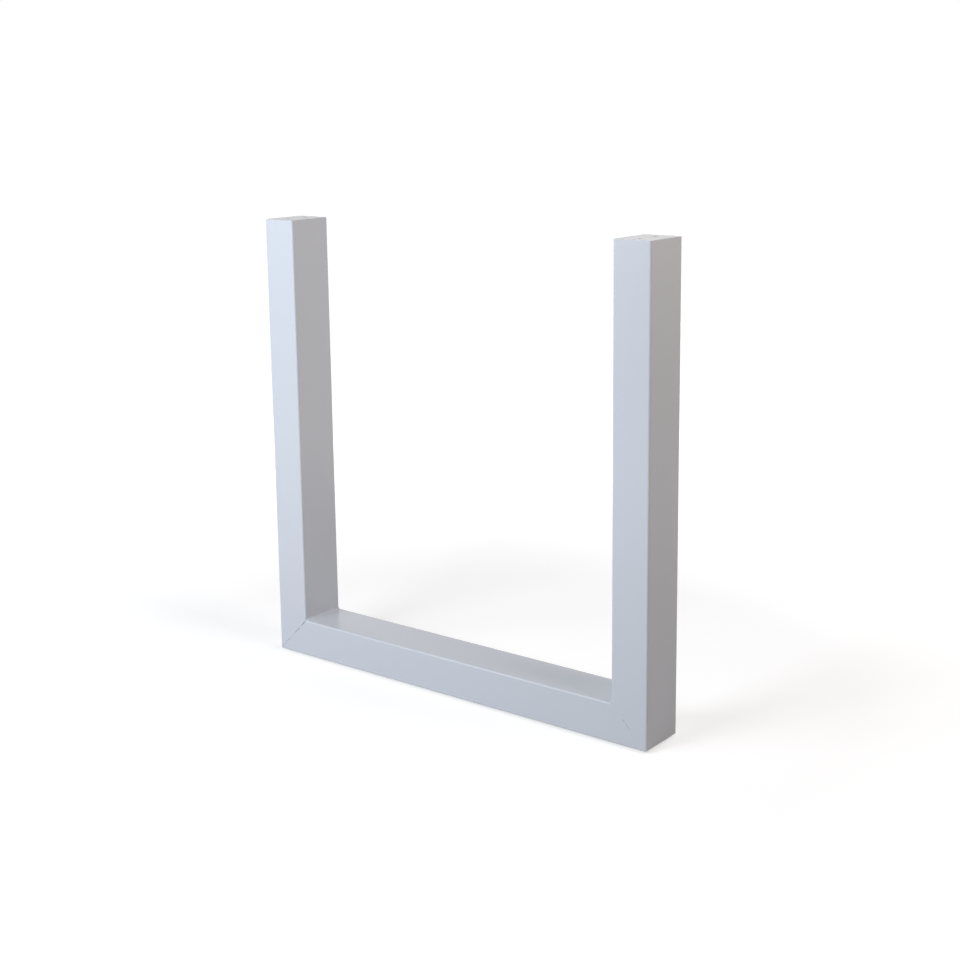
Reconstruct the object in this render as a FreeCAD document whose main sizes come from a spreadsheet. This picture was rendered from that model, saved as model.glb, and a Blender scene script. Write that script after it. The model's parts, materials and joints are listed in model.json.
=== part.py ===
import FreeCAD, Part
import math
import os

import Sketcher

# A U shaped steel table leg: two uprights and a bottom rail of one rectangular tube,
# mitred and welded at the lower corners, with a tapped cap in the end of each upright
# and four snap-in floor glides under the rail.
# Frame: X across the U, Y through its depth, Z up. The front is at -Y. The origin is
# on the floor, under the middle of the rail. Sizes are in millimetres.

DRIVING_SIZES = {
    # Tube frame, with its height from the floor to the upright ends
    "frame_width": 720.0,
    "leg_height": 720.0,
    "tube_face": 60.0,
    "tube_depth": 80.0,
    "tube_wall": 2.0,
    "tube_bend": 1.0,
    # Weld metal in the mitres, and how far it is ground below the tube faces
    "mitre_gap": 1.2,
    "left_weld_sink": 0.3,
    "right_weld_sink": 0.1,
    # Fillet beads in the inside corners
    "bead_leg": 4.0,
    "bead_crown": 0.5,
    # Caps in the upright ends, with a weld groove round the rim and holes tapped M8
    "cap_thickness": 8.0,
    "cap_clearance": 0.1,
    "cap_corner": 2.5,
    "cap_bevel": 0.8,
    "screw_hole": 6.8,
    "screw_spacing": 40.0,
    # Floor glides
    "glide_height": 3.0,
    "glide_head": 22.0,
    "glide_chamfer": 1.0,
    "glide_stem": 8.0,
    "glide_barb": 0.4,
    "glide_tip": 5.0,
    "glide_tip_length": 5.0,
    "glide_clearance": 0.1,
    "glide_inset": 70.0,
    "glide_edge": 18.0,
}

# Sizes that follow from the driving ones
DERIVED_SIZES = {
    "upright_length": "=leg_height - glide_height",
    "tube_corner": "=tube_wall + tube_bend",
    "mitre_shift": "=mitre_gap / sqrt(2)",
    "bead_length": "=tube_depth - 2 * tube_corner",
    "bead_radius": "=(bead_leg ^ 2 / 2 + bead_crown ^ 2) / (2 * bead_crown)",
    "cap_face": "=tube_face - 2 * tube_wall - 2 * cap_clearance",
    "cap_depth": "=tube_depth - 2 * tube_wall - 2 * cap_clearance",
    "glide_spacing": "=tube_depth - 2 * glide_edge",
}

# Places in a sketch: its origin and axes, and the points of a line or an arc
START, END, CENTRE = range(1, 4)
X_AXIS, Y_AXIS = range(-1, -3, -1)
ORIGIN = (X_AXIS, START)

doc = FreeCAD.newDocument("u_table_leg")
sizes = doc.addObject("Spreadsheet::Sheet", "sizes")


def fill_sheet():
    """Writes every size to the sheet, one row each, under its own alias."""
    rows = list(DRIVING_SIZES.items()) + list(DERIVED_SIZES.items())
    for row, (alias, content) in enumerate(rows, start=1):
        sizes.set(f"A{row}", alias)
        sizes.set(f"B{row}", str(content))
        sizes.setAlias(f"B{row}", alias)
    doc.recompute()


def value(expression):
    """Present value of an expression of the sheet."""
    return float(sizes.evalExpression(expression))


# Bodies and sketches


def new_body(label, x, y, z, turn=0):
    """An empty body at x, y, z (expressions of the sheet), turned about Z by degrees."""
    body = doc.addObject("PartDesign::Body", label)
    body.Label = label
    turned = FreeCAD.Rotation(FreeCAD.Vector(0, 0, 1), turn)
    body.Placement = FreeCAD.Placement(FreeCAD.Vector(), turned)
    for name, expression in (("x", x), ("y", y), ("z", z)):
        body.setExpression(f".Placement.Base.{name}", expression)
    return body


def origin_plane(body, role):
    return next(plane for plane in body.Origin.OriginFeatures if plane.Role == role)


def new_sketch(body, name, role):
    """A sketch on one of the body's own origin planes."""
    sketch = body.newObject("Sketcher::SketchObject", name)
    sketch.AttachmentSupport = [(origin_plane(body, role), "")]
    sketch.MapMode = "FlatFace"
    return sketch


def constrain(sketch, kind, *where):
    return sketch.addConstraint(Sketcher.Constraint(kind, *where))


def dimension(sketch, name, kind, expression, *where):
    """Adds a named dimension to a sketch and binds it to the sheet."""
    index = constrain(sketch, kind, *where, value(expression))
    sketch.renameConstraint(index, name)
    sketch.setExpression(f"Constraints.{name}", expression)


def line(sketch, start, end):
    ends = (FreeCAD.Vector(*start, 0), FreeCAD.Vector(*end, 0))
    return sketch.addGeometry(Part.LineSegment(*ends), False)


def arc(sketch, centre, radius, first_angle, last_angle):
    whole = Part.Circle(FreeCAD.Vector(*centre, 0), FreeCAD.Vector(0, 0, 1), radius)
    angles = (math.radians(first_angle), math.radians(last_angle))
    return sketch.addGeometry(Part.ArcOfCircle(whole, *angles), False)


def polygon(sketch, points):
    """Closed outline of straight lines: line i runs from point i to the next one."""
    lines = [line(sketch, p, q) for p, q in zip(points, points[1:] + points[:1])]
    for this, after in zip(lines, lines[1:] + lines[:1]):
        constrain(sketch, "Coincident", this, END, after, START)
    return lines


def rounded_rectangle(sketch, name, across, up, corner):
    """Rectangle with round corners about the sketch's origin. Its sizes are expressions."""
    x = value(across) / 2
    y = value(up) / 2
    r = value(corner)
    low = line(sketch, (r - x, -y), (x - r, -y))
    low_right = arc(sketch, (x - r, r - y), r, 270, 360)
    right = line(sketch, (x, r - y), (x, y - r))
    high_right = arc(sketch, (x - r, y - r), r, 0, 90)
    high = line(sketch, (x - r, y), (r - x, y))
    high_left = arc(sketch, (r - x, y - r), r, 90, 180)
    left = line(sketch, (-x, y - r), (-x, r - y))
    low_left = arc(sketch, (r - x, r - y), r, 180, 270)

    outline = [low, low_right, right, high_right, high, high_left, left, low_left]
    for this, after in zip(outline, outline[1:] + outline[:1]):
        constrain(sketch, "Tangent", this, END, after, START)
    for level in (low, high):
        constrain(sketch, "Horizontal", level)
    for plumb in (right, left):
        constrain(sketch, "Vertical", plumb)
    for turn in (high_right, high_left, low_left):
        constrain(sketch, "Equal", low_right, turn)
    constrain(sketch, "Symmetric", low_right, CENTRE, high_left, CENTRE, *ORIGIN)
    dimension(sketch, f"{name}_corner", "Radius", corner, low_right)
    dimension(sketch, f"{name}_across", "DistanceX", across, left, START, right, START)
    dimension(sketch, f"{name}_up", "DistanceY", up, low, START, high, START)


def circle(sketch, x, y, diameter):
    centre = FreeCAD.Vector(x, y, 0)
    return sketch.addGeometry(Part.Circle(centre, FreeCAD.Vector(0, 0, 1), diameter / 2), False)


def hole_pair(sketch, diameter, spacing):
    """Two round holes on the sketch's Y axis, either side of its origin."""
    y = value(spacing) / 2
    low, high = (circle(sketch, 0, centre, value(diameter)) for centre in (-y, y))
    constrain(sketch, "Equal", low, high)
    constrain(sketch, "Symmetric", low, CENTRE, high, CENTRE, *ORIGIN)
    constrain(sketch, "PointOnObject", low, CENTRE, Y_AXIS)
    dimension(sketch, "hole", "Diameter", diameter, low)
    dimension(sketch, "spacing", "DistanceY", spacing, low, CENTRE, high, CENTRE)


def hole_rectangle(sketch, diameter, across, spacing):
    """Four round holes at the corners of a rectangle about the sketch's origin."""
    x = value(across) / 2
    y = value(spacing) / 2
    corners = [(-x, -y), (x, -y), (x, y), (-x, y)]
    holes = [circle(sketch, *corner, value(diameter)) for corner in corners]
    low_left, low_right, high_right, high_left = holes
    for hole in holes[1:]:
        constrain(sketch, "Equal", low_left, hole)
    constrain(sketch, "Horizontal", low_left, CENTRE, low_right, CENTRE)
    constrain(sketch, "Horizontal", high_left, CENTRE, high_right, CENTRE)
    constrain(sketch, "Vertical", low_left, CENTRE, high_left, CENTRE)
    constrain(sketch, "Vertical", low_right, CENTRE, high_right, CENTRE)
    constrain(sketch, "Symmetric", low_left, CENTRE, high_right, CENTRE, *ORIGIN)
    dimension(sketch, "hole", "Diameter", diameter, low_left)
    dimension(sketch, "across", "DistanceX", across, low_left, CENTRE, low_right, CENTRE)
    dimension(sketch, "spacing", "DistanceY", spacing, low_left, CENTRE, high_left, CENTRE)


# Features


def pad(body, sketch, name, length, side_type="One side"):
    feature = body.newObject("PartDesign::Pad", name)
    feature.Profile = sketch
    feature.SideType = side_type
    feature.setExpression("Length", length)
    doc.recompute()


def cut(body, sketch, name, side_type):
    """Cuts a sketch through all of the body, and checks that it took metal away."""
    before = body.Shape.Volume
    feature = body.newObject("PartDesign::Pocket", name)
    feature.Profile = sketch
    feature.SideType = side_type
    feature.Type = "ThroughAll"
    doc.recompute()
    if body.Shape.Volume >= before:
        raise RuntimeError(f"{body.Label}: {name} cuts nothing")
    return feature


def tube_section(body, role, across, up, sink="0"):
    """Outline and bore of the tube. sink draws the outline in from the tube's faces."""
    section = new_sketch(body, "section", role)
    wall = "2 * sizes.tube_wall"
    outline = [f"{across} - 2 * {sink}", f"{up} - 2 * {sink}"]
    bore = [f"{across} - {wall}", f"{up} - {wall}"]
    corner = f"sizes.tube_corner - {sink}"
    rounded_rectangle(section, "outline", *outline, corner)
    rounded_rectangle(section, "bore", *bore, "sizes.tube_bend")
    return section


# Sub-parts


def make_upright(label, x, turn):
    """Upright with its foot mitred. Its own X points to the inside of the U."""
    body = new_body(label, x, "0", "sizes.glide_height", turn)
    section = tube_section(body, "XY_Plane", "sizes.tube_face", "sizes.tube_depth")
    pad(body, section, "tube", "sizes.upright_length")

    # Waste below the mitre, which rises from the outer face to the inner one
    waste = new_sketch(body, "mitre_waste", "XZ_Plane")
    half = value("sizes.tube_face / 2")
    heel = value("sizes.mitre_shift")
    toe = value("sizes.tube_face + sizes.mitre_shift")
    foot, inner, _, outer = polygon(waste, [(-half, 0), (half, 0), (half, toe), (-half, heel)])
    constrain(waste, "Vertical", inner)
    constrain(waste, "Vertical", outer)
    constrain(waste, "Symmetric", foot, START, foot, END, Y_AXIS)
    constrain(waste, "PointOnObject", foot, START, X_AXIS)
    dimension(waste, "foot", "DistanceX", "sizes.tube_face", foot, START, foot, END)
    dimension(waste, "heel", "DistanceY", "sizes.mitre_shift", outer, END, outer, START)
    dimension(
        waste, "toe", "DistanceY", "sizes.tube_face + sizes.mitre_shift",
        inner, START, inner, END,
    )
    cut(body, waste, "mitre", "Symmetric")
    return body


def make_rail(label):
    """Bottom rail, mitred at both ends, with four holes for the glides below."""
    body = new_body(label, "0", "0", "sizes.glide_height + sizes.tube_face / 2")
    section = tube_section(body, "YZ_Plane", "sizes.tube_depth", "sizes.tube_face")
    pad(body, section, "tube", "sizes.frame_width", "Symmetric")

    # Waste above the left mitre, which rises from the rail's end
    waste = new_sketch(body, "mitre_waste", "XZ_Plane")
    tip = value("-sizes.frame_width / 2")
    half = value("sizes.tube_face / 2")
    heel = tip + value("sizes.mitre_shift")
    toe = heel + value("sizes.tube_face")
    low, _, high, end = polygon(waste, [(tip, -half), (heel, -half), (toe, half), (tip, half)])
    constrain(waste, "Horizontal", low)
    constrain(waste, "Horizontal", high)
    constrain(waste, "Vertical", end)
    dimension(waste, "tip", "DistanceX", "sizes.frame_width / 2", low, START, *ORIGIN)
    dimension(waste, "underside", "DistanceY", "sizes.tube_face / 2", low, START, *ORIGIN)
    dimension(waste, "face", "DistanceY", "sizes.tube_face", end, END, end, START)
    dimension(waste, "heel", "DistanceX", "sizes.mitre_shift", low, START, low, END)
    dimension(
        waste, "toe", "DistanceX", "sizes.tube_face + sizes.mitre_shift",
        high, END, high, START,
    )
    left_mitre = cut(body, waste, "left_mitre", "Symmetric")
    both_mitres = body.newObject("PartDesign::Mirrored", "both_mitres")
    both_mitres.Originals = [left_mitre]
    both_mitres.MirrorPlane = (origin_plane(body, "YZ_Plane"), [""])
    body.Tip = both_mitres
    doc.recompute()

    holes = new_sketch(body, "glide_holes", "XY_Plane")
    hole_rectangle(
        holes,
        "sizes.glide_stem + 2 * sizes.glide_clearance",
        "sizes.frame_width - 2 * sizes.glide_inset",
        "sizes.glide_spacing",
    )
    cut(body, holes, "stem_holes", "One side")
    return body


def make_mitre_weld(label, x, turn, sink):
    """Ring of weld metal between upright and rail, in the upright's own frame."""
    body = new_body(label, x, "0", "sizes.glide_height", turn)
    section = tube_section(body, "XY_Plane", "sizes.tube_face", "sizes.tube_depth", sink)
    height = "sizes.tube_face + 2 * sizes.mitre_shift"
    pad(body, section, "column", height)

    half = value("sizes.tube_face / 2")
    shift = value("sizes.mitre_shift")
    top = value(height)
    toe = 2 * half
    sunk = value(sink)

    # Upright's side: everything above its mitre
    above = new_sketch(body, "upright_side", "XZ_Plane")
    outline = [(-half, shift), (half, toe + shift), (half, top), (-half, top)]
    slope, inner, cap, outer = polygon(above, outline)
    constrain(above, "Vertical", inner)
    constrain(above, "Vertical", outer)
    constrain(above, "Symmetric", cap, START, cap, END, Y_AXIS)
    dimension(above, "face", "DistanceX", "sizes.tube_face", cap, END, cap, START)
    dimension(above, "heel", "DistanceY", "sizes.mitre_shift", *ORIGIN, slope, START)
    dimension(above, "rise", "DistanceY", "sizes.tube_face", slope, START, slope, END)
    dimension(above, "top", "DistanceY", height, *ORIGIN, cap, START)
    cut(body, above, "upright_mitre", "Symmetric")

    # Rail's side: everything below its mitre, and what would stand out underneath
    below = new_sketch(body, "rail_side", "XZ_Plane")
    outline = [
        (-half, 0), (half, 0), (half, toe - shift), (sunk + shift - half, sunk), (-half, sunk),
    ]
    foot, inner, slope, lip, outer = polygon(below, outline)
    constrain(below, "Vertical", inner)
    constrain(below, "Vertical", outer)
    constrain(below, "Horizontal", lip)
    constrain(below, "Symmetric", foot, START, foot, END, Y_AXIS)
    constrain(below, "PointOnObject", foot, START, X_AXIS)
    dimension(below, "face", "DistanceX", "sizes.tube_face", foot, START, foot, END)
    dimension(below, "sink", "DistanceY", sink, outer, END, outer, START)
    dimension(below, "lip", "DistanceX", f"{sink} + sizes.mitre_shift", lip, END, lip, START)
    dimension(
        below, "toe", "DistanceY", "sizes.tube_face - sizes.mitre_shift",
        inner, START, inner, END,
    )
    cut(body, below, "rail_mitre", "Symmetric")
    return body


def make_bead(label, x, turn):
    """Fillet bead in an inside corner, with a slight crown. Its legs are on its X and Z."""
    body = new_body(label, x, "0", "sizes.glide_height + sizes.tube_face", turn)
    profile = new_sketch(body, "profile", "XZ_Plane")
    leg = value("sizes.bead_leg")
    radius = value("sizes.bead_radius")
    chord = leg * math.sqrt(2)
    half_angle = math.degrees(math.asin(chord / 2 / radius))
    middle_angle = 45
    back = (leg - math.sqrt(2 * radius ** 2 - leg ** 2)) / 2
    flat = line(profile, (0, 0), (leg, 0))
    crown = arc(
        profile, (back, back), radius, middle_angle - half_angle, middle_angle + half_angle
    )
    plumb = line(profile, (0, leg), (0, 0))
    constrain(profile, "Coincident", flat, START, *ORIGIN)
    constrain(profile, "Coincident", flat, END, crown, START)
    constrain(profile, "Coincident", crown, END, plumb, START)
    constrain(profile, "Coincident", plumb, END, flat, START)
    constrain(profile, "Horizontal", flat)
    constrain(profile, "Vertical", plumb)
    constrain(profile, "Equal", flat, plumb)
    dimension(profile, "leg", "DistanceX", "sizes.bead_leg", flat, START, flat, END)
    dimension(profile, "crown", "Radius", "sizes.bead_radius", crown)
    pad(body, profile, "bead", "sizes.bead_length", "Symmetric")
    return body


def make_cap(label, x):
    """Cap let into an upright's end, flush with it, bevelled round the rim for its weld."""
    body = new_body(label, x, "0", "sizes.leg_height - sizes.cap_thickness")
    outline = new_sketch(body, "outline", "XY_Plane")
    rounded_rectangle(outline, "cap", "sizes.cap_face", "sizes.cap_depth", "sizes.cap_corner")
    pad(body, outline, "plate", "sizes.cap_thickness")

    plate = body.Tip
    top = max(range(len(plate.Shape.Faces)), key=lambda i: plate.Shape.Faces[i].CenterOfMass.z)
    bevel = body.newObject("PartDesign::Chamfer", "weld_groove")
    bevel.Base = (plate, [f"Face{top + 1}"])
    bevel.setExpression("Size", "sizes.cap_bevel")
    doc.recompute()

    holes = new_sketch(body, "screw_holes", "XY_Plane")
    hole_pair(holes, "sizes.screw_hole", "sizes.screw_spacing")
    cut(body, holes, "screws", "Symmetric")
    return body


def make_glide(label, x, y):
    """Snap-in glide: a chamfered round foot, and a stem with a barb behind the rail's wall."""
    body = new_body(label, x, y, "0")
    profile = new_sketch(body, "profile", "XZ_Plane")
    head_x = value("sizes.glide_head / 2")
    chamfer = value("sizes.glide_chamfer")
    seat_z = value("sizes.glide_height")
    stem_x = value("sizes.glide_stem / 2")
    ledge_z = seat_z + value("sizes.tube_wall + sizes.glide_clearance")
    barb_x = stem_x + value("sizes.glide_barb")
    tip_x = value("sizes.glide_tip / 2")
    tip_z = ledge_z + value("sizes.glide_tip_length")
    outline = [
        (0, 0), (head_x - chamfer, 0), (head_x, chamfer), (head_x, seat_z), (stem_x, seat_z),
        (stem_x, ledge_z), (barb_x, ledge_z), (tip_x, tip_z), (0, tip_z),
    ]
    sole, edge, rim, seat, stem, ledge, taper, tip, spine = polygon(profile, outline)
    constrain(profile, "Coincident", sole, START, *ORIGIN)
    for level in (sole, seat, ledge, tip):
        constrain(profile, "Horizontal", level)
    for plumb in (rim, stem, spine):
        constrain(profile, "Vertical", plumb)
    dimension(profile, "edge_out", "DistanceX", "sizes.glide_chamfer", edge, START, edge, END)
    dimension(profile, "edge_up", "DistanceY", "sizes.glide_chamfer", edge, START, edge, END)
    dimension(profile, "head", "DistanceX", "sizes.glide_head / 2", *ORIGIN, rim, END)
    dimension(profile, "seat", "DistanceY", "sizes.glide_height", *ORIGIN, rim, END)
    dimension(profile, "stem", "DistanceX", "sizes.glide_stem / 2", *ORIGIN, stem, END)
    dimension(
        profile, "grip", "DistanceY", "sizes.tube_wall + sizes.glide_clearance",
        stem, START, stem, END,
    )
    dimension(profile, "barb", "DistanceX", "sizes.glide_barb", ledge, START, ledge, END)
    dimension(profile, "tip", "DistanceX", "sizes.glide_tip / 2", *ORIGIN, taper, END)
    dimension(
        profile, "tip_length", "DistanceY", "sizes.glide_tip_length",
        taper, START, taper, END,
    )
    feature = body.newObject("PartDesign::Revolution", "turned")
    feature.Profile = profile
    feature.ReferenceAxis = (profile, ["V_Axis"])
    feature.Angle = 360
    doc.recompute()
    return body


def make_leg():
    """All sub-parts of the leg. The right-hand ones face the left-hand ones."""
    bodies = [make_rail("bottom_rail")]
    for side, sign, turn in (("left", -1, 0), ("right", 1, 180)):
        axis_x = f"{sign} * (sizes.frame_width - sizes.tube_face) / 2"
        inner_x = f"{sign} * (sizes.frame_width / 2 - sizes.tube_face)"
        glide_x = f"{sign} * (sizes.frame_width / 2 - sizes.glide_inset)"
        bodies += [
            make_upright(f"{side}_upright", axis_x, turn),
            make_mitre_weld(f"{side}_mitre_weld", axis_x, turn, f"sizes.{side}_weld_sink"),
            make_bead(f"{side}_inside_weld", inner_x, turn),
            make_cap(f"{side}_top_cap", axis_x),
            make_glide(f"{side}_front_glide", glide_x, "-sizes.glide_spacing / 2"),
            make_glide(f"{side}_back_glide", glide_x, "sizes.glide_spacing / 2"),
        ]
    return bodies


def check(bodies):
    """Stops if anything in the document failed or a sub-part isn't one sound solid."""
    doc.recompute()
    for thing in doc.Objects:
        if {"Invalid", "Error"} & set(thing.State):
            raise RuntimeError(f"{thing.Label} failed: {thing.State}")
    for body in bodies:
        shape = body.Shape
        if shape.isNull() or not shape.isValid() or len(shape.Solids) != 1:
            raise RuntimeError(f"{body.Label} isn't one sound solid")


fill_sheet()
sub_parts = make_leg()
check(sub_parts)
os.makedirs("parts", exist_ok=True)
for sub_part in sub_parts:
    sub_part.Shape.exportStep(f"parts/{sub_part.Label}.step")
    box = sub_part.Shape.BoundBox
    print(
        f"{sub_part.Label}: {sub_part.Shape.Volume:.0f} mm3, "
        f"x {box.XMin:.2f} to {box.XMax:.2f}, y {box.YMin:.2f} to {box.YMax:.2f}, "
        f"z {box.ZMin:.2f} to {box.ZMax:.2f}"
    )
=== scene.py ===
# %% [markdown]
# # A U shaped table leg
#
# The leg is welded from one rectangular steel tube: two uprights and a rail, mitred where
# they meet, and coated with light grey powder. The frame that is loaded here has every piece
# at its real size and place. This lesson models the pieces again with softer edges, weld
# metal and threads, paints them, and sets up the view and the light.

import contextlib
import json
import math

import bmesh
import bpy
from mathutils import Matrix, Vector


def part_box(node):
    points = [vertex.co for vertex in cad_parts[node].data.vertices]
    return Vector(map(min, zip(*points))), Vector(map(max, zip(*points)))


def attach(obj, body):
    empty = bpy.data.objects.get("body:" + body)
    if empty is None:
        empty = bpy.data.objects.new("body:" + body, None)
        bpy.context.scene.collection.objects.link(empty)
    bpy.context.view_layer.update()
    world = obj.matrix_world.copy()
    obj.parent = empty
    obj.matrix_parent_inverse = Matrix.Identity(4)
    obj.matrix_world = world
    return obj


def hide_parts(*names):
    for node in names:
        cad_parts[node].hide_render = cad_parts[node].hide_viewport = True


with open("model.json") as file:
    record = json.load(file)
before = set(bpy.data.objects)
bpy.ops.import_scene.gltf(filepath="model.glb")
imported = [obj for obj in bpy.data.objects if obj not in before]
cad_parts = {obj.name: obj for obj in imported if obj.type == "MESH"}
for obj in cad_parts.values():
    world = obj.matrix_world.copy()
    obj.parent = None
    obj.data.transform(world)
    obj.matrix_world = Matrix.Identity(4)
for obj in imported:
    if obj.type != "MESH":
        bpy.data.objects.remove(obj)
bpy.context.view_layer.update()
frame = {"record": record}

# %% [markdown]
# ## Sizes
#
# A box round each node is enough to read the main sizes back: the tube's face and depth, the
# width of the U, and the shift that opens a narrow gap for the weld in each mitre. Reading
# them keeps the lesson true to the frame when a size changes. Only what a box can't show,
# such as the wall and the bend of the tube, is written down.

# %% Read the sizes of the tube
MM = 0.001
TUBE_WALL = 2 * MM
TUBE_CORNER = 3 * MM

rail_low, rail_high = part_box("bottom_rail")
left_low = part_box("left_upright")[0]
right_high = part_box("right_upright")[1]
tube_face = rail_high.z - rail_low.z
half_depth = rail_high.y
half_width = right_high.x
leg_height = right_high.z
mitre_shift = left_low.z - rail_low.z
print(f"Tube {tube_face:.3f} by {2 * half_depth:.3f} m, U {2 * half_width:.3f} by {leg_height:.3f} m")

# %% [markdown]
# ## Camera
#
# The picture was taken from the right of the leg and a little above it, with a long lens. A
# camera can be aimed with a constraint, but a place and three angles say the same with fewer
# parts: it is turned about Z to its heading, tipped down, and rolled a little about its own
# view. A small vertical shift keeps the uprights' slight lean as it is in the picture.

# %% Place the camera
IMAGE_SIDE = 960
SENSOR = 36.0
LENS = 59.28
SHIFT_UP = -0.083
EYE = Vector((1.4671, -1.8122, 0.9178))
HEADING, TIP, ROLL = (math.radians(angle) for angle in (38.235, -11.121, -0.713))

camera_data = bpy.data.cameras.new("camera")
camera_data.sensor_width = SENSOR
camera_data.lens = LENS
camera_data.shift_y = SHIFT_UP
camera = bpy.data.objects.new("camera", camera_data)
bpy.context.scene.collection.objects.link(camera)
turn = Matrix.Rotation(HEADING, 4, "Z") @ Matrix.Rotation(math.pi / 2 + TIP, 4, "X")
camera.matrix_world = Matrix.Translation(EYE) @ turn @ Matrix.Rotation(ROLL, 4, "Z")
bpy.context.scene.camera = camera


def pixel(point):
    """Where a point of the leg falls in the square image, in pixels from its top left."""
    seen = camera.matrix_world.inverted() @ Vector(point)
    across = 0.5 - LENS / SENSOR * seen.x / seen.z
    up = 0.5 - LENS / SENSOR * seen.y / seen.z - SHIFT_UP
    return round(across * IMAGE_SIDE, 1), round((1 - up) * IMAGE_SIDE, 1)


for x in (-half_width, half_width):
    print("Front corner at", pixel((x, -half_depth, rail_low.z)), pixel((x, -half_depth, leg_height)))

# %% [markdown]
# ## Lamps
#
# Cool daylight comes through two windows in front of the leg, and fades towards its right and
# its foot. A warm lamp hangs high on the right, and two fill lamps, behind the leg and on its
# left, reach the sides that the windows leave dark. A sun would light every point alike, so
# these are area lamps: their distance sets how fast they fade, and their side how soft they
# are. Only the windows show in reflections, because a satin coat would mirror the other lamps
# as bright patches.

# %% Set the lamps
DAYLIGHT = (0.865, 0.924, 1.0)
LAMPLIGHT = (1.0, 0.88, 0.80)
BACK_LIGHT = (0.96, 0.95, 0.97)
# A lamp's place, the height of its aim above the origin, its side in metres, its power in
# watts and its colour.
LAMPS = {
    "window_middle": ((-0.3, -1.7, 1.2), 0.4, 0.8, 26.8, DAYLIGHT),
    "window_left": ((-1.1, -1.5, 0.95), 0.4, 0.7, 10.8, DAYLIGHT),
    "room_right": ((1.3, 0.0, 1.7), 0.4, 0.6, 12.9, LAMPLIGHT),
    "room_back": ((0.3, 2.1, 0.4), 1.6, 0.6, 30.5, BACK_LIGHT),
    "room_left": ((-2.0, 0.9, 0.5), 0.4, 0.8, 8.0, LAMPLIGHT),
}
MIRRORED = ("window_middle", "window_left")


def soft_lamp(name, place, aim_height, side, power, colour):
    """Square area lamp, aimed at a height above the origin and hidden from the camera."""
    lamp_data = bpy.data.lights.new(name, "AREA")
    lamp_data.size = side
    lamp_data.energy = power
    lamp_data.color = colour
    lamp = bpy.data.objects.new(name, lamp_data)
    lamp.location = place
    aim = Vector((0, 0, aim_height)) - lamp.location
    lamp.rotation_euler = aim.to_track_quat("-Z", "Y").to_euler()
    lamp.visible_camera = False
    lamp.visible_glossy = name in MIRRORED
    bpy.context.scene.collection.objects.link(lamp)
    print(f"{name}: {power} W, {aim.length:.2f} m from its aim")


for name, settings in LAMPS.items():
    soft_lamp(name, *settings)

# %% [markdown]
# ## World
#
# All round the leg there is only white. A world as bright as that would drown the lamps, so
# it has two backgrounds: a white one for the rays that see it directly, and a weak one for
# the rays that carry light to a surface. The Light Path node tells them apart.

# %% Set the world
SKY_LEVEL = 0.1
WHITE = (1, 1, 1, 1)


def seen_directly(tree):
    """Socket that is 1 for camera, glossy and transmission rays, and 0 for all others."""
    path = tree.nodes.new("ShaderNodeLightPath")
    seen = path.outputs["Is Camera Ray"]
    for kind in ("Is Glossy Ray", "Is Transmission Ray"):
        larger = tree.nodes.new("ShaderNodeMath")
        larger.operation = "MAXIMUM"
        tree.links.new(seen, larger.inputs[0])
        tree.links.new(path.outputs[kind], larger.inputs[1])
        seen = larger.outputs["Value"]
    return seen


def set_world():
    world = bpy.data.worlds.new("white_room")
    bpy.context.scene.world = world
    world.use_nodes = True
    tree = world.node_tree
    tree.nodes.clear()
    light = tree.nodes.new("ShaderNodeBackground")
    light.inputs["Color"].default_value = WHITE
    light.inputs["Strength"].default_value = SKY_LEVEL
    white = tree.nodes.new("ShaderNodeBackground")
    white.inputs["Color"].default_value = WHITE
    mix = tree.nodes.new("ShaderNodeMixShader")
    output = tree.nodes.new("ShaderNodeOutputWorld")
    tree.links.new(seen_directly(tree), mix.inputs["Fac"])
    tree.links.new(light.outputs["Background"], mix.inputs[1])
    tree.links.new(white.outputs["Background"], mix.inputs[2])
    tree.links.new(mix.outputs["Shader"], output.inputs["Surface"])
    print(f"{world.name}: seen as white, lights with a strength of {SKY_LEVEL}")


set_world()
bpy.context.scene.view_settings.view_transform = "Standard"

# %% [markdown]
# ## Floor
#
# The floor is a pale sheet that keeps the leg's shadow. A floor bright enough to look white
# would throw too much light back up, so a glow, seen only by the camera and in reflections,
# lifts it to white where no shadow falls. The glow grows with the distance from the leg, as
# the light of the lamps fades.

# %% Mix the floor's finish
FLOOR_COLOUR = (0.5, 0.5, 0.5)
NEAR_GLOW, FAR_GLOW = 0.6, 1.0
NEAR_REACH, FAR_REACH = 0.6, 1.8


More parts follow.
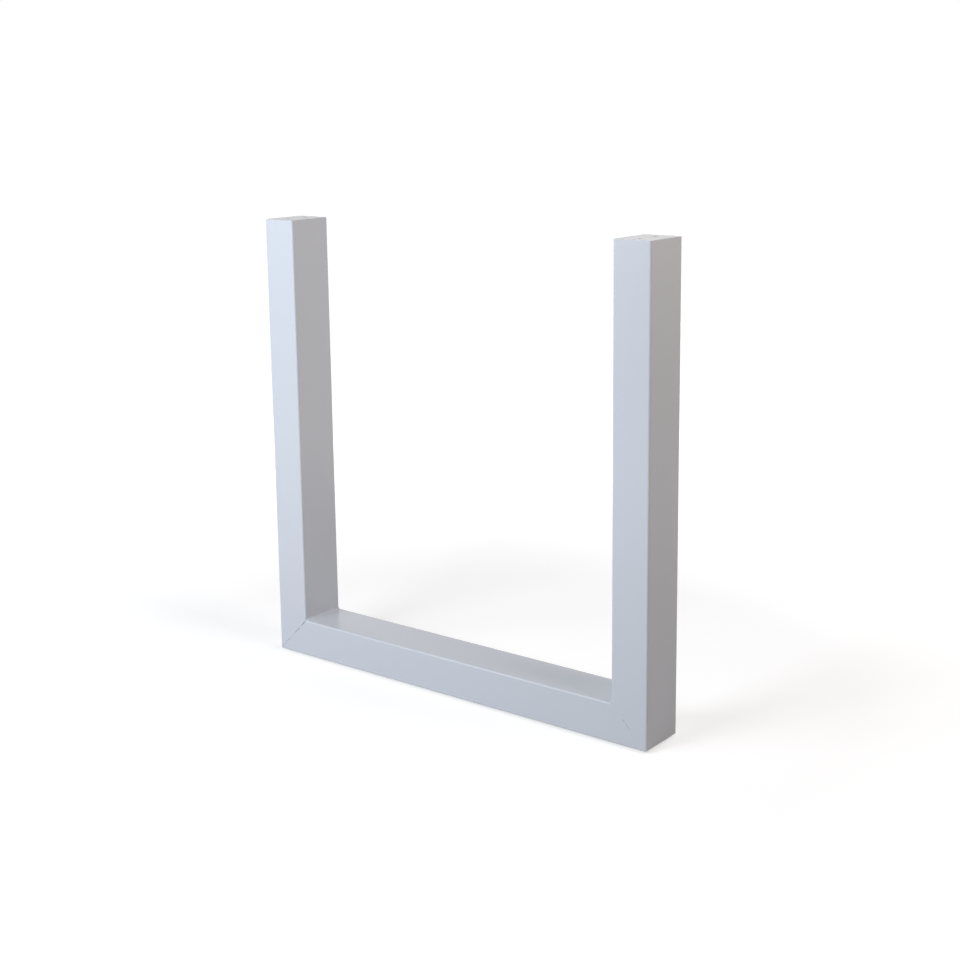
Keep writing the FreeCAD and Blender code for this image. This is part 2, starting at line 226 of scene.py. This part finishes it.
def make_floor_finish():
    """Matt grey, with a glow that grows from the near reach to the far one."""
    material = bpy.data.materials.new("pale_floor")
    material.use_nodes = True
    tree = material.node_tree
    tree.nodes.clear()
    matt = tree.nodes.new("ShaderNodeBsdfDiffuse")
    matt.inputs["Color"].default_value = (*FLOOR_COLOUR, 1)
    glow = tree.nodes.new("ShaderNodeEmission")
    place = tree.nodes.new("ShaderNodeTexCoord")
    distance = tree.nodes.new("ShaderNodeVectorMath")
    distance.operation = "LENGTH"
    fade = tree.nodes.new("ShaderNodeMapRange")
    fade.inputs["From Min"].default_value = NEAR_REACH
    fade.inputs["From Max"].default_value = FAR_REACH
    fade.inputs["To Min"].default_value = NEAR_GLOW
    fade.inputs["To Max"].default_value = FAR_GLOW
    strength = tree.nodes.new("ShaderNodeMath")
    strength.operation = "MULTIPLY"
    both = tree.nodes.new("ShaderNodeAddShader")
    output = tree.nodes.new("ShaderNodeOutputMaterial")
    tree.links.new(place.outputs["Object"], distance.inputs[0])
    tree.links.new(distance.outputs["Value"], fade.inputs["Value"])
    tree.links.new(seen_directly(tree), strength.inputs[0])
    tree.links.new(fade.outputs["Result"], strength.inputs[1])
    tree.links.new(strength.outputs["Value"], glow.inputs["Strength"])
    tree.links.new(matt.outputs["BSDF"], both.inputs[0])
    tree.links.new(glow.outputs["Emission"], both.inputs[1])
    tree.links.new(both.outputs["Shader"], output.inputs["Surface"])
    return material


pale_floor = make_floor_finish()
print(f"{pale_floor.name}: glow from {NEAR_GLOW} at {NEAR_REACH} m to {FAR_GLOW} at {FAR_REACH} m")

# %% Lay the floor
FLOOR_SIDE = 40


def begin(name, material, add, **settings):
    """Adds one primitive, names it, puts its place in its mesh and paints it."""
    bpy.ops.object.select_all(action="DESELECT")
    add(**settings)
    piece = bpy.context.object
    piece.name = name
    bpy.ops.object.transform_apply(location=True, rotation=True, scale=True)
    piece.data.materials.append(material)
    return piece


floor = begin("floor", pale_floor, bpy.ops.mesh.primitive_plane_add, size=FLOOR_SIDE)
print("Floor laid,", FLOOR_SIDE, "m across")

# %% [markdown]
# ## Fine unevenness, shared by all finishes
#
# No finish is quite even: powder flows out into a fine orange peel, moulded nylon has a
# spark-eroded grain, and steel has tool marks. Images of these would repeat and need
# unwrapping. Noise at two scales does for all three, so one node group makes it, with the
# scales as inputs. It gives a height for the bump of a material and a slow tone that lightens
# and darkens its colour. It reads Object coordinates, so the pattern runs on from piece to
# piece.

# %% Build the unevenness group
FINE_DETAIL, BROAD_DETAIL = 2.0, 3.0


def make_unevenness():
    group = bpy.data.node_groups.new("unevenness", "ShaderNodeTree")
    for name in ("Fine Scale", "Broad Scale"):
        group.interface.new_socket(name, in_out="INPUT", socket_type="NodeSocketFloat")
    for name in ("Height", "Tone"):
        group.interface.new_socket(name, in_out="OUTPUT", socket_type="NodeSocketFloat")
    scales = group.nodes.new("NodeGroupInput")
    results = group.nodes.new("NodeGroupOutput")
    place = group.nodes.new("ShaderNodeTexCoord")
    for scale, detail, result in (
        ("Fine Scale", FINE_DETAIL, "Height"),
        ("Broad Scale", BROAD_DETAIL, "Tone"),
    ):
        noise = group.nodes.new("ShaderNodeTexNoise")
        noise.inputs["Detail"].default_value = detail
        group.links.new(place.outputs["Object"], noise.inputs["Vector"])
        group.links.new(scales.outputs[scale], noise.inputs["Scale"])
        group.links.new(noise.outputs["Fac"], results.inputs[result])
    return group


unevenness = make_unevenness()
print("Group:", unevenness.name, [socket.name for socket in unevenness.interface.items_tree])

# %% [markdown]
# ## Finishes
#
# A finish is the colour, the gloss and the skin of a material. Layers of shaders could be
# mixed for each, but one Principled shader holds all that these three need. The slow tone of
# the group shifts its colour and its roughness by a little, and the fine height goes through
# a bump node.

# %% Define a finish
SPECULAR_LEVEL = 0.45


def make_finish(name, colours, roughness, scales, bump_height, metallic=0.0):
    """Procedural finish. colours and roughness are pairs that the slow tone runs between."""
    material = bpy.data.materials.new(name)
    material.use_nodes = True
    tree = material.node_tree
    shader = tree.nodes["Principled BSDF"]
    shader.inputs["Metallic"].default_value = metallic
    shader.inputs["Specular IOR Level"].default_value = SPECULAR_LEVEL
    skin = tree.nodes.new("ShaderNodeGroup")
    skin.node_tree = unevenness
    skin.inputs["Fine Scale"].default_value, skin.inputs["Broad Scale"].default_value = scales
    tint = tree.nodes.new("ShaderNodeMix")
    tint.data_type = "RGBA"
    tint.inputs["A"].default_value = (*colours[0], 1)
    tint.inputs["B"].default_value = (*colours[1], 1)
    gloss = tree.nodes.new("ShaderNodeMapRange")
    gloss.inputs["To Min"].default_value, gloss.inputs["To Max"].default_value = roughness
    bump = tree.nodes.new("ShaderNodeBump")
    bump.inputs["Distance"].default_value = bump_height
    tree.links.new(skin.outputs["Tone"], tint.inputs["Factor"])
    tree.links.new(tint.outputs["Result"], shader.inputs["Base Color"])
    tree.links.new(skin.outputs["Tone"], gloss.inputs["Value"])
    tree.links.new(gloss.outputs["Result"], shader.inputs["Roughness"])
    tree.links.new(skin.outputs["Height"], bump.inputs["Height"])
    tree.links.new(bump.outputs["Normal"], shader.inputs["Normal"])
    print(f"{name}: roughness from {roughness[0]} to {roughness[1]}")
    return material


# %% Mix the three finishes
powder_coat = make_finish(
    "satin_powder_coat",
    colours=((0.585, 0.605, 0.645), (0.60, 0.62, 0.66)),
    roughness=(0.2, 0.26),
    scales=(420, 6),
    bump_height=0.03 * MM,
)
nylon = make_finish(
    "moulded_nylon",
    colours=((0.042, 0.042, 0.047), (0.055, 0.055, 0.06)),
    roughness=(0.45, 0.6),
    scales=(1500, 40),
    bump_height=0.05 * MM,
)
thread_steel = make_finish(
    "tapped_steel",
    colours=((0.42, 0.41, 0.40), (0.55, 0.54, 0.52)),
    roughness=(0.25, 0.45),
    scales=(2000, 150),
    bump_height=0.02 * MM,
    metallic=1.0,
)

# %% [markdown]
# ## Tools of the bench
#
# The same few moves shape every piece. Edit mode is entered with all of the piece selected,
# faces or edges are picked out by a test, and modifiers are added and applied at once. By
# hand these would be clicks in the viewport. Short helpers for them keep each piece's own
# cell to what is special about it.

# %% Edit a piece and pick parts of it
X, Z = 0, 2
PARALLEL = 0.99


def make_active(piece):
    bpy.ops.object.select_all(action="DESELECT")
    piece.select_set(True)
    bpy.context.view_layer.objects.active = piece


@contextlib.contextmanager
def editing(piece):
    """Edit mode on one piece, with all of it selected."""
    make_active(piece)
    bpy.ops.object.mode_set(mode="EDIT")
    bpy.ops.mesh.select_mode(type="EDGE")
    bpy.ops.mesh.select_all(action="SELECT")
    yield
    bpy.ops.object.mode_set(mode="OBJECT")


def select(piece, kind, test):
    """In edit mode, selects only the VERT, EDGE or FACE elements that pass a test."""
    bpy.ops.mesh.select_mode(type=kind)
    bpy.ops.mesh.select_all(action="DESELECT")
    shape = bmesh.from_edit_mesh(piece.data)
    elements = {"VERT": shape.verts, "EDGE": shape.edges, "FACE": shape.faces}[kind]
    for element in elements:
        if test(element):
            element.select_set(True)
    shape.select_flush_mode()
    bmesh.update_edit_mesh(piece.data)


def runs_along(edge, axis):
    """True for an edge that is parallel to an axis."""
    run = edge.verts[1].co - edge.verts[0].co
    return abs(run[axis]) > PARALLEL * run.length


# %% Apply a modifier
def modify(piece, kind, **settings):
    """Adds a modifier, sets it up and applies it."""
    make_active(piece)
    modifier = piece.modifiers.new(kind.lower(), kind)
    for name, value in settings.items():
        setattr(modifier, name, value)
    bpy.ops.object.modifier_apply(modifier=modifier.name)


# %% [markdown]
# ## Tube frame
#
# A hollow section is rolled from strip, so its long edges are round and its wall is even. It
# could be swept along a path, but a box is quicker: its ends are taken off, its long edges
# are bevelled, and Solidify gives it a wall. The uprights get some spare length for the saw.

# %% Roll the tubes
SIDES = {"left": -1, "right": 1}
CORNER_STEPS = 8
SPARE = Vector((0, 0, 10 * MM))


def begin_box(name, low, high, material):
    """Cube primitive that fills the box between two corners."""
    middle, size = (low + high) / 2, high - low
    return begin(name, material, bpy.ops.mesh.primitive_cube_add, size=1, location=middle, scale=size)


def make_tube(name, low, high, along, sink=0.0):
    """Hollow tube between two corners, open at both ends. sink is taken off its outside."""
    tube = begin_box(name, low, high, powder_coat)
    with editing(tube):
        select(tube, "FACE", lambda face: abs(face.normal[along]) > PARALLEL)
        bpy.ops.mesh.delete(type="FACE")
        select(tube, "EDGE", lambda edge: runs_along(edge, along))
        bpy.ops.mesh.bevel(offset=TUBE_CORNER - sink, segments=CORNER_STEPS)
    wall = TUBE_WALL - sink
    modify(tube, "SOLIDIFY", thickness=wall, offset=-1, use_even_offset=True, use_rim=False)
    return tube


tubes = {"rail": make_tube("rail_tube", rail_low, rail_high, X)}
for side in SIDES:
    low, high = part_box(f"{side}_upright")
    tubes[side] = make_tube(f"{side}_upright_tube", low - SPARE, high + SPARE, Z)
print("Tubes:", {name: len(tube.data.polygons) for name, tube in tubes.items()})

# %% [markdown]
# The mitres could be cut with a Boolean, but a saw cut is a single plane, and bisect makes
# one. The two rings of cut edges are bridged, which closes the sawn wall, and a small bevel
# takes the sharpness off its outer edge. Beside a mitre that bevel is the fine line of the
# seam, so each side has its own.

# %% Saw and ease the ends
DIAGONAL = math.sqrt(0.5)
UP = Vector((0, 0, 1))
SEAM_EASE = {"left": 0.1 * MM, "right": 0.06 * MM}
RIM_EASE = 0.4 * MM
EASE_STEPS = 3
PLANE_TOLERANCE = 0.01 * MM


def mitre_planes(sign):
    """Points in the sawn planes of an upright and the rail, and the way from one to the other."""
    on_upright = Vector((sign * half_width, 0, rail_low.z + mitre_shift))
    on_rail = Vector((sign * (half_width - mitre_shift), 0, rail_low.z))
    return on_upright, on_rail, Vector((-sign * DIAGONAL, 0, -DIAGONAL))


def saw(tube, point, waste):
    """Saws a tube in a plane and closes the sawn wall. waste points to what falls off."""
    with editing(tube):
        bpy.ops.mesh.bisect(plane_co=point, plane_no=waste, clear_outer=True)
        bpy.ops.mesh.bridge_edge_loops()


def ease(tube, point, normal, along, radius):
    """Rounds the outer edge of a sawn end that lies in a plane."""
    middle = (Vector(tube.bound_box[0]) + Vector(tube.bound_box[6])) / 2

    def is_outer_wall(face):
        away = face.calc_center_median() - middle
        away[along] = 0
        return abs(face.normal.dot(normal)) < PARALLEL and face.normal.dot(away) > 0

    def on_outer_edge(edge):
        distances = (abs((vertex.co - point).dot(normal)) for vertex in edge.verts)
        return max(distances) < PLANE_TOLERANCE and any(map(is_outer_wall, edge.link_faces))

    with editing(tube):
        select(tube, "EDGE", on_outer_edge)
        bpy.ops.mesh.bevel(offset=radius, segments=EASE_STEPS)


top = Vector((0, 0, leg_height))
for side, sign in SIDES.items():
    on_upright, on_rail, to_rail = mitre_planes(sign)
    saw(tubes[side], on_upright, to_rail)
    ease(tubes[side], on_upright, to_rail, Z, SEAM_EASE[side])
    saw(tubes[side], top, UP)
    ease(tubes[side], top, UP, Z, RIM_EASE)
    saw(tubes["rail"], on_rail, -to_rail)
    ease(tubes["rail"], on_rail, to_rail, X, SEAM_EASE[side])
    print(f"{side} mitre: gap of {(on_rail - on_upright).dot(to_rail) / MM:.2f} mm")

# %% [markdown]
# The outer corners of the frame were ground round once they were welded. A bevel can't round
# a corner that belongs to three pieces, so a fan of slanting cuts takes it off each of them:
# the tubes here, and the weld later.

# %% Grind the outer corners
CORNER_ROUND = 5 * MM
GRIND_ANGLES = (15, 30, 45, 60, 75)


def grind_corner(piece, sign):
    """Rounds the sharp outer corner of a mitre with a fan of slanting cuts."""
    centre = Vector((sign * (half_width - CORNER_ROUND), 0, rail_low.z + CORNER_ROUND))
    for angle in GRIND_ANGLES:
        slant = math.radians(angle)
        outwards = Vector((sign * math.cos(slant), 0, -math.sin(slant)))
        touch = centre + CORNER_ROUND * outwards
        with editing(piece):
            bpy.ops.mesh.bisect(plane_co=touch, plane_no=outwards, clear_outer=True, use_fill=True)


for side, sign in SIDES.items():
    for tube in (tubes[side], tubes["rail"]):
        grind_corner(tube, sign)
print("Ground tubes:", {name: len(tube.data.polygons) for name, tube in tubes.items()})

# %% [markdown]
# The rail has four holes in its bottom wall that the glides snap into. They are drilled with
# a Boolean, because a round hole through one wall of a finished tube has no edge loop to
# start from. The drill's material goes to the wall of the hole.

# %% Drill the rail
GLIDES = [f"{side}_{end}_glide" for side in SIDES for end in ("front", "back")]
STEM_HOLE = 4.1 * MM
DRILL_DEPTH = 4 * TUBE_WALL
ROUND_STEPS = 48


def carve(piece, cutter):
    """Cuts one piece with another and takes the cutter away."""
    modify(
        piece, "BOOLEAN", operation="DIFFERENCE", solver="EXACT", material_mode="TRANSFER",
        object=cutter,
    )
    bpy.data.objects.remove(cutter)


def drill(piece, centre, radius, depth, material):
    """Round hole along Z about a centre, through a depth, with a material on its wall."""
    cutter = begin(
        "drill", material, bpy.ops.mesh.primitive_cylinder_add,
        vertices=ROUND_STEPS, radius=radius, depth=depth, location=centre,
    )
    carve(piece, cutter)


for glide in GLIDES:
    glide_low, glide_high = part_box(glide)
    hole = (glide_low + glide_high) / 2
    hole.z = rail_low.z
    drill(tubes["rail"], hole, STEM_HOLE, DRILL_DEPTH, powder_coat)
    print(f"{glide}: hole at {hole.x:.3f}, {hole.y:.3f}")

# %% [markdown]
# A finished piece is shaded smooth but for its sharp edges. Smooth shading alone would bend
# the light on the large flat faces, so Weighted Normal lets these decide. The piece then
# takes the place of its node.

# %% Complete the tubes
SMOOTH_ANGLE = math.radians(40)


def complete(piece, node):
    """Shades a piece and puts it in the place of its node."""
    make_active(piece)
    bpy.ops.object.shade_smooth_by_angle(angle=SMOOTH_ANGLE)
    modify(piece, "WEIGHTED_NORMAL", keep_sharp=True)
    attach(piece, "root")
    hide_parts(node)
    finishes = [material.name for material in piece.data.materials]
    print(f"{piece.name}: {len(piece.data.polygons)} faces, {finishes}")


complete(tubes["rail"], "bottom_rail")
for side in SIDES:
    complete(tubes[side], f"{side}_upright")

# %% [markdown]
# ## Weld in the mitres
#
# A ring of weld metal fills the gap of each mitre and is ground almost flush. It could be
# swept round the section, but it is quicker to start from a tube again, a hair slimmer than
# the others, and to leave a slice of it between two saw cuts. The long strips of the slice
# are subdivided, so that they can be marked afterwards.

# %% Slice the weld rings
WELD_SINK = {"left": 0.3 * MM, "right": 0.1 * MM}
LONG_EDGE = 10 * MM
LENGTH_CUTS = 42
ACROSS_CUTS = 3


def make_weld(side, sign):
    """Slice of a slim tube between the sawn ends of an upright and the rail."""
    sink = WELD_SINK[side]
    inset = Vector((sink, sink, 0))
    low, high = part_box(f"{side}_upright")
    weld = make_tube(f"{side}_mitre_weld_ring", low + inset - SPARE, high - inset, Z, sink)
    on_upright, on_rail, to_rail = mitre_planes(sign)
    saw(weld, on_upright, -to_rail)
    saw(weld, on_rail, to_rail)
    with editing(weld):
        underside = (0, 0, rail_low.z + sink)
        bpy.ops.mesh.bisect(plane_co=underside, plane_no=-UP, clear_outer=True, use_fill=True)
        select(weld, "EDGE", lambda edge: edge.calc_length() > LONG_EDGE)
        bpy.ops.mesh.subdivide(number_cuts=LENGTH_CUTS)
        select(weld, "EDGE", lambda edge: runs_along(edge, Z))
        bpy.ops.mesh.subdivide(number_cuts=ACROSS_CUTS)
    return weld


welds = {side: make_weld(side, sign) for side, sign in SIDES.items()}
print("Weld rings:", {side: len(weld.data.polygons) for side, weld in welds.items()})

# %% [markdown]
# On the left the weld was ground unevenly, which leaves a broken dark line with low ridges
# beside it, and on the right only two short stretches are open. A bump would give no shadow
# here, so rows of the strips are moved: all of them out, to fill the gap almost to the faces
# of the tubes, and then the marks. A positive depth presses a stretch in, and a negative one
# raises a ridge. A stretch is given in shares of the mitre, from 0 at its inside corner to 1
# at its outer corner, and rows run from -1 at the rail to 1 at the upright.

# %% Press in the marks
WELD_FILL = {"left": 0.28 * MM, "right": 0.09 * MM}
FACE_BAND = TUBE_WALL / 4
ALL_ROWS, MIDDLE_ROWS, UPPER_ROWS = (-1.1, 1.1), (-0.7, 0.7), (0.3, 1.1)
# Where a mark starts and stops, its depth in millimetres, and its rows.
MARKS = {
    "left": [
        (0.05, 0.17, 1.1, MIDDLE_ROWS),
        (0.05, 0.17, -0.4, UPPER_ROWS),
        (0.27, 0.42, 0.9, MIDDLE_ROWS),
        (0.27, 0.42, -0.4, UPPER_ROWS),
        (0.43, 0.52, 0.5, MIDDLE_ROWS),
        (0.62, 0.85, 0.6, MIDDLE_ROWS),
        (0.92, 0.97, 0.8, MIDDLE_ROWS),
    ],
    "right": [
        (0.33, 0.37, 0.8, MIDDLE_ROWS),
        (0.36, 0.42, -0.3, UPPER_ROWS),
        (0.43, 0.53, 0.8, MIDDLE_ROWS),
    ],
}


def press(side, sign, start, stop, depth, rows):
    """Moves rows of a weld's strips on both faces in by a depth, over part of their length."""
    strip_y = half_depth - WELD_SINK[side]
    for facing in (-1, 1):

        def in_stretch(vertex):
            run = half_width - sign * vertex.co.x
            along = 1 - run / tube_face
            row = (vertex.co.z - rail_low.z - run) / mitre_shift
            on_strip = vertex.co.y * facing > strip_y - FACE_BAND
            return on_strip and start <= along <= stop and rows[0] < row < rows[1]

        with editing(welds[side]):
            select(welds[side], "VERT", in_stretch)
            bpy.ops.transform.translate(value=(0, -facing * depth, 0))


for side, sign in SIDES.items():
    press(side, sign, 0, 1, -WELD_FILL[side], ALL_ROWS)
    for start, stop, depth, rows in MARKS[side]:
        press(side, sign, start, stop, depth * MM, rows)
    grind_corner(welds[side], sign)
    complete(welds[side], f"{side}_mitre_weld")

# %% [markdown]
# ## Beads in the inside corners
#
# Inside the U the weld isn't ground: a small hollow bead rounds each corner, with the fine
# ripples that the torch left, and it ends in a rough lump at the back. A sweep along a curve
# would give a smooth bead only. Here its section, a quarter circle closed at the corner, is
# extruded in short steps, and each step is scaled about the corner by its own size.

# %% Plan the beads
RIPPLE_STEP = 0.9 * MM
RIPPLE_SIZES = (0.98, 1.02)
# Places along Y in millimetres, and the size of the section there.
FRONT_END = ((-38.6, 0.3), (-37.8, 0.7), (-37, 0.9))
BACK_END = (
    (30, 1.15), (31, 0.95), (32, 1.45), (33, 1.05), (34, 1.1), (35, 1.6), (36, 1.2),
    (37, 1.35), (38, 1.4), (39, 1.2), (39.6, 0.6),
)


def bead_steps():
    """Places along Y and sizes of the bead's sections, from the front to the back."""
    steps = [(y * MM, size) for y, size in FRONT_END]
    count = 0
    while steps[-1][0] + 2 * RIPPLE_STEP < BACK_END[0][0] * MM:
        steps.append((steps[-1][0] + RIPPLE_STEP, RIPPLE_SIZES[count % 2]))
        count += 1
    return steps + [(y * MM, size) for y, size in BACK_END]


print("Bead:", len(bead_steps()), "sections")

# %% Lay the beads
ARC_STEPS = 10
TINY = 0.001 * MM


def begin_section(name, corner, sign, leg):
    """Section of a bead, as one face: a hollow quarter circle closed at the corner."""
    centre = corner + Vector((-sign * leg, 0, leg))
    section = begin(
        name, powder_coat, bpy.ops.mesh.primitive_circle_add,
        vertices=4 * ARC_STEPS, radius=leg, location=centre, rotation=(math.pi / 2, 0, 0),
    )

    def away_from_corner(vertex):
        return vertex.co.z > centre.z + TINY or (vertex.co.x - centre.x) * sign < -TINY

    with editing(section):
        select(section, "VERT", away_from_corner)
        bpy.ops.mesh.delete(type="VERT")
        select(section, "VERT", lambda vertex: vertex.co.z > centre.z - TINY)
        bpy.ops.mesh.extrude_region_move(TRANSFORM_OT_translate={"value": (0, 0, -leg)})
        bpy.ops.mesh.select_all(action="SELECT")
        bpy.ops.mesh.edge_face_add()
    return section


def corner_at(y, sign):
    """Inside corner of the U at a place along Y. It sinks where the tubes' edges are round."""
    over_edge = max(0, abs(y) - half_depth + TUBE_CORNER)
    sink = TUBE_CORNER - math.sqrt(TUBE_CORNER**2 - over_edge**2)
    return Vector((sign * (half_width - tube_face + sink), y, rail_high.z - sink))


def lay_bead(side, sign):
    low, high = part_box(f"{side}_inside_weld")
    corner = corner_at(0, sign)
    bead = begin_section(f"{side}_corner_bead", corner, sign, high.z - low.z)
    last_size = 1
    with editing(bead):
        for count, (y, size) in enumerate(bead_steps()):
            next_corner = corner_at(y, sign)
            move = {"value": next_corner - corner}
            if count:
                bpy.ops.mesh.extrude_region_move(TRANSFORM_OT_translate=move)
            else:
                bpy.ops.transform.translate(**move)
            grow = size / last_size
            bpy.ops.transform.resize(value=(grow, 1, grow), center_override=next_corner)
            corner, last_size = next_corner, size
        bpy.ops.mesh.select_all(action="SELECT")
        bpy.ops.mesh.normals_make_consistent(inside=False)
    complete(bead, f"{side}_inside_weld")


for side, sign in SIDES.items():
    lay_bead(side, sign)

# %% [markdown]
# ## Caps in the upright ends
#
# Each upright is shut by a thick cap, let in flush, with two holes that are tapped for
# screws from above. A thread could be a bump, but a real helix reads better in a hole this
# short: the outline of one 60 degree tooth goes through a Screw modifier, and the result cuts
# the cap like a tap. The tap is turned by half a step of its helix, because points that fall
# on the corners of the drilled hole would leave the cut open.

# %% Make a tap
THREAD_PITCH = 1.25 * MM
THREAD_CREST = 4.1 * MM
TOOTH_RADIUS = THREAD_PITCH / math.sqrt(3)
HALF_STEP = math.pi / ROUND_STEPS


def make_tap(centre, length):
    """Cutter with one helical tooth, on a vertical axis through a centre."""
    tap = begin(
        "tap", thread_steel, bpy.ops.mesh.primitive_circle_add, vertices=3, radius=TOOTH_RADIUS
    )
    axis_point = (0, 0, 0)
    with editing(tap):
        for axis in ("Z", "X"):
            bpy.ops.transform.rotate(
                value=math.pi / 2, orient_axis=axis, center_override=axis_point
            )
        bpy.ops.transform.translate(value=(THREAD_CREST - TOOTH_RADIUS, 0, -length / 2))
        select(tap, "EDGE", lambda edge: runs_along(edge, Z))
        bpy.ops.mesh.delete(type="EDGE")
    modify(
        tap, "SCREW", screw_offset=THREAD_PITCH, iterations=math.ceil(length / THREAD_PITCH),
        steps=ROUND_STEPS, render_steps=ROUND_STEPS,
    )
    with editing(tap):
        bpy.ops.mesh.remove_doubles(threshold=TINY)
        bpy.ops.mesh.fill_holes(sides=0)
        bpy.ops.mesh.select_all(action="SELECT")
        bpy.ops.mesh.normals_make_consistent(inside=False)
        bpy.ops.transform.rotate(value=HALF_STEP, orient_axis="Z", center_override=axis_point)
        bpy.ops.transform.translate(value=centre)
    return tap


print(f"Thread: pitch {THREAD_PITCH / MM:.2f} mm, {2 * THREAD_CREST / MM:.1f} mm across its crests")

# %% [markdown]
# The cap itself is a box with bevelled corners and a bevelled rim, which is the groove for
# its weld. The threads were plugged when the leg was coated, so they are bare steel. The two
# caps are alike: one is modelled, and the other is a copy.

# %% Model the caps
CAP_CORNER = 2.5 * MM
CAP_BEVEL = 0.8 * MM
CAP_BEVEL_STEPS = 2
TAP_OVERRUN = 2 * THREAD_PITCH
SCREWS = {mount["name"]: mount["dims"] for mount in frame["record"]["mounts"]}


def make_cap(side):
    low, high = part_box(f"{side}_top_cap")
    cap = begin_box(f"{side}_end_cap", low, high, powder_coat)
    with editing(cap):
        select(cap, "EDGE", lambda edge: runs_along(edge, Z))
        bpy.ops.mesh.bevel(offset=CAP_CORNER, segments=CORNER_STEPS)
        select(cap, "FACE", lambda face: face.normal.z > PARALLEL)
        bpy.ops.mesh.region_to_loop()
        bpy.ops.mesh.bevel(offset=CAP_BEVEL, segments=CAP_BEVEL_STEPS)
    screws = SCREWS[f"{side}_screws"]
    length = high.z - low.z + 2 * TAP_OVERRUN
    for end in (-1, 1):
        hole = (low + high) / 2
        hole.y = end * screws["spacing_y_mm"] * MM / 2
        drill(cap, hole, screws["hole_r_mm"] * MM, length, thread_steel)
        carve(cap, make_tap(hole, length))
    return cap


def copy_to(piece, name, node, next_node):
    """Copy of a piece, with a mesh of its own, moved from the place of one node to another's."""
    make_active(piece)
    bpy.ops.object.duplicate()
    twin = bpy.context.object
    twin.name = name
    twin.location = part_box(next_node)[0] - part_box(node)[0]
    bpy.ops.object.transform_apply(location=True, rotation=False, scale=False)
    return twin


left_cap = make_cap("left")
right_cap = copy_to(left_cap, "right_end_cap", "left_top_cap", "right_top_cap")
complete(left_cap, "left_top_cap")
complete(right_cap, "right_top_cap")

# %% [markdown]
# ## Floor glides
#
# Four nylon glides keep the rail off the floor. Each is a turned shape: a flat head with an
# eased edge, and a stem with a barb that snaps in behind the wall of the rail. Spin would make
# it from an outline, but a disc that is extruded and scaled step by step keeps clean rings,
# and its profile reads as a list of radii and heights. One glide is modelled and copied.

# %% Draw the profile of a glide
GLIDE_EASE = 1 * MM
RIM_ROUND = 0.25 * MM
STEM = 4 * MM
BARB = 0.4 * MM
TIP_RADIUS = 2.5 * MM
STEM_TOP = TUBE_WALL + 0.1 * MM


def glide_profile(node):
    """Radii and heights of a glide's rings, from its sole to the tip of its stem."""
    low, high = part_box(node)
    head = (high.x - low.x) / 2
    seat = rail_low.z - low.z
    return [
        (head - GLIDE_EASE - RIM_ROUND, 0),
        (head - GLIDE_EASE + RIM_ROUND / 2, RIM_ROUND / 2),
        (head - RIM_ROUND / 2, GLIDE_EASE - RIM_ROUND / 2),
        (head, GLIDE_EASE + RIM_ROUND),
        (head, seat - RIM_ROUND),
        (head - RIM_ROUND, seat),
        (STEM, seat),
        (STEM, seat + STEM_TOP),
        (STEM + BARB, seat + STEM_TOP),
        (TIP_RADIUS, high.z - low.z),
    ]


for radius, height in glide_profile(GLIDES[0]):
    print(f"Ring of radius {radius / MM:.2f} mm at {height / MM:.2f} mm")

# %% Turn the glides
SOLE_RECESS = 0.3 * MM
SOLE_RING = 2.5 * MM


def make_glide(node):
    low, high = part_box(node)
    centre = Vector(((low.x + high.x) / 2, (low.y + high.y) / 2, low.z))
    profile = glide_profile(node)
    glide = begin(
        f"{node}_foot", nylon, bpy.ops.mesh.primitive_circle_add,
        vertices=ROUND_STEPS, radius=profile[0][0], fill_type="NGON", location=centre,
    )

    def is_sole(face):
        return face.normal.z < -PARALLEL and len(face.verts) == ROUND_STEPS

    with editing(glide):
        bpy.ops.mesh.select_mode(type="FACE")
        for (radius, height), (next_radius, next_height) in zip(profile, profile[1:]):
            rise = (0, 0, next_height - height)
            bpy.ops.mesh.extrude_region_move(TRANSFORM_OT_translate={"value": rise})
            grow = next_radius / radius
            bpy.ops.transform.resize(value=(grow, grow, 1), center_override=centre)
        bpy.ops.mesh.select_all(action="SELECT")
        bpy.ops.mesh.normals_make_consistent(inside=False)
        select(glide, "FACE", is_sole)
        bpy.ops.mesh.inset(thickness=SOLE_RING)
        bpy.ops.transform.translate(value=(0, 0, SOLE_RECESS))
    return glide


first_node = GLIDES[0]
glides = {first_node: make_glide(first_node)}
for node in GLIDES[1:]:
    glides[node] = copy_to(glides[first_node], f"{node}_foot", first_node, node)
for node, glide in glides.items():
    complete(glide, node)
